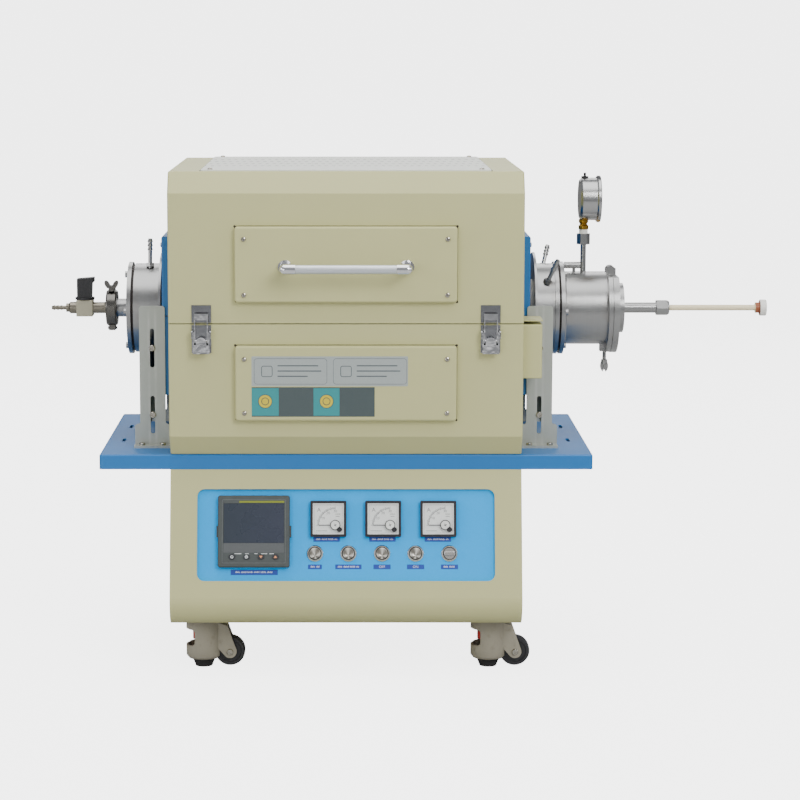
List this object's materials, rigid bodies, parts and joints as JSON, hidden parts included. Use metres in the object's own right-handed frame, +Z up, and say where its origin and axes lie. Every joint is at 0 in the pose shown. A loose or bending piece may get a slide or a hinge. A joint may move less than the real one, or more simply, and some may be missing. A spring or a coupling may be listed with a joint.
{
  "type": "tube furnace",
  "caption": "Split-lid tube furnace on a wheeled control cabinet, with sealed flanges, gas valve and pressure gauge.",
  "frame": {"origin": "middle of the footprint, on the floor under the levelling feet", "axes": "+X along the furnace tube towards the door and the probe, +Y to the back, +Z up"},
  "size_m": [1, 0.464, 0.6765],
  "materials": {
    "cabinet_paint": "satin powder coat, beige",
    "shelf_paint": "satin powder coat, pale grey over blue edge",
    "panel_paint": "satin printed panel, light blue",
    "instrument_case": "moulded, dark",
    "clear_window": "clear",
    "bright_metal": "polished",
    "button_metal": "polished dish",
    "key_plastic": "moulded keys",
    "needle_metal": "blackened",
    "hearth_paint": "satin powder coat, beige",
    "plate_paint": "satin powder coat",
    "fibre": "matte ceramic fibre board",
    "cover_paint": "satin powder coat, blue",
    "vent_steel": "perforated, pale grey",
    "hinge_steel": "zinc plated",
    "stand_steel": "folded and painted grey",
    "ceramic": "glazed ceramic tube",
    "flange_steel": "turned stainless",
    "gauge_case": "polished stainless",
    "knob_plastic": "moulded, black",
    "probe_ceramic": "cream ceramic",
    "switch_body": "moulded, dark",
    "castor_metal": "cast and painted",
    "castor_tread": "nylon wheel",
    "pad_rubber": "moulded rubber"
  },
  "bodies": {
    "stand": {"base_hardware": "hinge_steel", "base_insulation": "fibre", "button_bezels": "bright_metal", "cabinet_shell": "cabinet_paint", "castor_plates": "castor_metal", "control_panel": "panel_paint", "controller": "instrument_case", "end_covers_lower": "cover_paint", "flange_stands": "stand_steel", "furnace_tube": "ceramic", "gas_valve": "flange_steel", "hearth_base": "hearth_paint", "instrument_windows": "clear_window", "kf_clamp": "flange_steel", "label_plate": "plate_paint", "left_flange": "flange_steel", "lid_switch": "switch_body", "meter_cases": "instrument_case", "pressure_gauge": "gauge_case", "right_flange": "flange_steel", "shelf_tray": "shelf_paint"},
    "lid": {"lid_shell": "hearth_paint", "vent_plate": "vent_steel", "lid_handle": "bright_metal", "lid_insulation": "fibre", "end_covers_upper": "cover_paint", "lid_hardware": "hinge_steel"},
    "latch_lever_left": {"latch_lever_left": "bright_metal"},
    "latch_lever_right": {"latch_lever_right": "bright_metal"},
    "latch_claw_left": {"latch_claw_left": "bright_metal"},
    "latch_claw_right": {"latch_claw_right": "bright_metal"},
    "selector_switch": {"selector_switch": "button_metal"},
    "gauge_pointer": {"gauge_pointer": "needle_metal"},
    "valve_knob": {"valve_knob": "knob_plastic"},
    "chamber_door": {"chamber_door": "flange_steel"},
    "swing_bolt": {"swing_bolt": "flange_steel"},
    "thermocouple": {"thermocouple": "probe_ceramic"},
    "push_button_1": {"push_button_1": "button_metal"},
    "push_button_2": {"push_button_2": "button_metal"},
    "push_button_3": {"push_button_3": "button_metal"},
    "push_button_4": {"push_button_4": "button_metal"},
    "controller_key_1": {"controller_key_1": "key_plastic"},
    "controller_key_2": {"controller_key_2": "key_plastic"},
    "controller_key_3": {"controller_key_3": "key_plastic"},
    "controller_key_4": {"controller_key_4": "key_plastic"},
    "meter_needle_1": {"meter_needle_1": "needle_metal"},
    "meter_needle_2": {"meter_needle_2": "needle_metal"},
    "meter_needle_3": {"meter_needle_3": "needle_metal"},
    "castor_fork_1": {"castor_fork_1": "castor_metal"},
    "castor_fork_2": {"castor_fork_2": "castor_metal"},
    "castor_fork_3": {"castor_fork_3": "castor_metal"},
    "castor_fork_4": {"castor_fork_4": "castor_metal"},
    "castor_wheel_1": {"castor_wheel_1": "castor_tread"},
    "castor_wheel_2": {"castor_wheel_2": "castor_tread"},
    "castor_wheel_3": {"castor_wheel_3": "castor_tread"},
    "castor_wheel_4": {"castor_wheel_4": "castor_tread"},
    "levelling_foot_1": {"levelling_foot_1": "pad_rubber"},
    "levelling_foot_2": {"levelling_foot_2": "pad_rubber"},
    "levelling_foot_3": {"levelling_foot_3": "pad_rubber"},
    "levelling_foot_4": {"levelling_foot_4": "pad_rubber"}
  },
  "joints": [
    {"name": "lid_hinge", "type": "hinge", "parent": "stand", "child": "lid", "pos_m": [-0.088, 0.226, 0.475], "axis": [-1, 0, 0], "range_deg": [0, 80]},
    {"name": "latch_lever_left_hinge", "type": "hinge", "parent": "stand", "child": "latch_lever_left", "pos_m": [-0.279, -0.189, 0.461], "axis": [-1, 0, 0], "range_deg": [0, 80]},
    {"name": "latch_claw_left_hinge", "type": "hinge", "parent": "latch_lever_left", "child": "latch_claw_left", "pos_m": [-0.279, -0.187, 0.453], "axis": [-1, 0, 0], "range_deg": [-96, 0]},
    {"name": "latch_lever_right_hinge", "type": "hinge", "parent": "stand", "child": "latch_lever_right", "pos_m": [0.103, -0.189, 0.461], "axis": [-1, 0, 0], "range_deg": [0, 80]},
    {"name": "latch_claw_right_hinge", "type": "hinge", "parent": "latch_lever_right", "child": "latch_claw_right", "pos_m": [0.103, -0.187, 0.453], "axis": [-1, 0, 0], "range_deg": [-96, 0]},
    {"name": "push_button_1_travel", "type": "slide", "parent": "stand", "child": "push_button_1", "axis": [0, 0.9668, -0.2554], "range_m": [0, 0.003], "stiffness_N_per_m": 400},
    {"name": "push_button_2_travel", "type": "slide", "parent": "stand", "child": "push_button_2", "axis": [0, 0.9668, -0.2554], "range_m": [0, 0.003], "stiffness_N_per_m": 400},
    {"name": "push_button_3_travel", "type": "slide", "parent": "stand", "child": "push_button_3", "axis": [0, 0.9668, -0.2554], "range_m": [0, 0.003], "stiffness_N_per_m": 400},
    {"name": "push_button_4_travel", "type": "slide", "parent": "stand", "child": "push_button_4", "axis": [0, 0.9668, -0.2554], "range_m": [0, 0.003], "stiffness_N_per_m": 400},
    {"name": "controller_key_1_travel", "type": "slide", "parent": "stand", "child": "controller_key_1", "axis": [0, 0.9668, -0.2554], "range_m": [0, 0.0008], "stiffness_N_per_m": 400},
    {"name": "controller_key_2_travel", "type": "slide", "parent": "stand", "child": "controller_key_2", "axis": [0, 0.9668, -0.2554], "range_m": [0, 0.0008], "stiffness_N_per_m": 400},
    {"name": "controller_key_3_travel", "type": "slide", "parent": "stand", "child": "controller_key_3", "axis": [0, 0.9668, -0.2554], "range_m": [0, 0.0008], "stiffness_N_per_m": 400},
    {"name": "controller_key_4_travel", "type": "slide", "parent": "stand", "child": "controller_key_4", "axis": [0, 0.9668, -0.2554], "range_m": [0, 0.0008], "stiffness_N_per_m": 400},
    {"name": "selector_turn", "type": "hinge", "parent": "stand", "child": "selector_switch", "pos_m": [0.0502, -0.19364, 0.16862], "axis": [0, -0.9668, 0.2554], "range_deg": [-90, 0]},
    {"name": "meter_needle_1_swing", "type": "hinge", "parent": "stand", "child": "meter_needle_1", "pos_m": [-0.1024, -0.18406, 0.20488], "axis": [0, 0.9668, -0.2554], "range_deg": [0, 90], "stiffness_Nm_per_rad": 0.0005},
    {"name": "meter_needle_2_swing", "type": "hinge", "parent": "stand", "child": "meter_needle_2", "pos_m": [-0.0292, -0.18406, 0.20488], "axis": [0, 0.9668, -0.2554], "range_deg": [0, 90], "stiffness_Nm_per_rad": 0.0005},
    {"name": "meter_needle_3_swing", "type": "hinge", "parent": "stand", "child": "meter_needle_3", "pos_m": [0.0445, -0.18406, 0.20488], "axis": [0, 0.9668, -0.2554], "range_deg": [0, 90], "stiffness_Nm_per_rad": 0.0005},
    {"name": "gauge_pointer_swing", "type": "hinge", "parent": "stand", "child": "gauge_pointer", "pos_m": [0.26, 0.019, 0.627], "axis": [-1, 0, 0], "range_deg": [0, 270], "stiffness_Nm_per_rad": 0.0001},
    {"name": "valve_quarter_turn", "type": "hinge", "parent": "stand", "child": "valve_knob", "pos_m": [-0.4533, 0.019, 0.475], "axis": [0, 0, 1], "range_deg": [0, 90]},
    {"name": "chamber_door_hinge", "type": "hinge", "parent": "stand", "child": "chamber_door", "pos_m": [0.28095, 0.019, 0.528], "axis": [0, -1, 0], "range_deg": [0, 90]},
    {"name": "swing_bolt_hinge", "type": "hinge", "parent": "stand", "child": "swing_bolt", "pos_m": [0.2747, 0.019, 0.4175], "axis": [0, -1, 0], "range_deg": [0, 90]},
    {"name": "thermocouple_slide", "type": "slide", "parent": "chamber_door", "child": "thermocouple", "axis": [-1, 0, 0], "range_m": [-0.03, 0.02]},
    {"name": "castor_1_swivel", "type": "hinge", "parent": "stand", "child": "castor_fork_1", "pos_m": [-0.282, -0.131, 0], "axis": [0, 0, 1], "continuous": true},
    {"name": "castor_1_roll", "type": "hinge", "parent": "castor_fork_1", "child": "castor_wheel_1", "pos_m": [-0.246, -0.131, 0.0215], "axis": [0, 1, 0], "continuous": true},
    {"name": "levelling_foot_1_travel", "type": "slide", "parent": "castor_fork_1", "child": "levelling_foot_1", "axis": [0, 0, 1], "range_m": [-0.012, 0.005]},
    {"name": "castor_2_swivel", "type": "hinge", "parent": "stand", "child": "castor_fork_2", "pos_m": [0.106, -0.131, 0], "axis": [0, 0, 1], "continuous": true},
    {"name": "castor_2_roll", "type": "hinge", "parent": "castor_fork_2", "child": "castor_wheel_2", "pos_m": [0.142, -0.131, 0.0215], "axis": [0, 1, 0], "continuous": true},
    {"name": "levelling_foot_2_travel", "type": "slide", "parent": "castor_fork_2", "child": "levelling_foot_2", "axis": [0, 0, 1], "range_m": [-0.012, 0.005]},
    {"name": "castor_3_swivel", "type": "hinge", "parent": "stand", "child": "castor_fork_3", "pos_m": [-0.282, 0.169, 0], "axis": [0, 0, 1], "continuous": true},
    {"name": "castor_3_roll", "type": "hinge", "parent": "castor_fork_3", "child": "castor_wheel_3", "pos_m": [-0.246, 0.169, 0.0215], "axis": [0, 1, 0], "continuous": true},
    {"name": "levelling_foot_3_travel", "type": "slide", "parent": "castor_fork_3", "child": "levelling_foot_3", "axis": [0, 0, 1], "range_m": [-0.012, 0.005]},
    {"name": "castor_4_swivel", "type": "hinge", "parent": "stand", "child": "castor_fork_4", "pos_m": [0.106, 0.169, 0], "axis": [0, 0, 1], "continuous": true},
    {"name": "castor_4_roll", "type": "hinge", "parent": "castor_fork_4", "child": "castor_wheel_4", "pos_m": [0.142, 0.169, 0.0215], "axis": [0, 1, 0], "continuous": true},
    {"name": "levelling_foot_4_travel", "type": "slide", "parent": "castor_fork_4", "child": "levelling_foot_4", "axis": [0, 0, 1], "range_m": [-0.012, 0.005]}
  ],
  "couplings": [
    {"joint": "latch_claw_left_hinge", "follows": "latch_lever_left_hinge", "ratio": -1.2},
    {"joint": "latch_claw_right_hinge", "follows": "latch_lever_right_hinge", "ratio": -1.2}
  ]
}
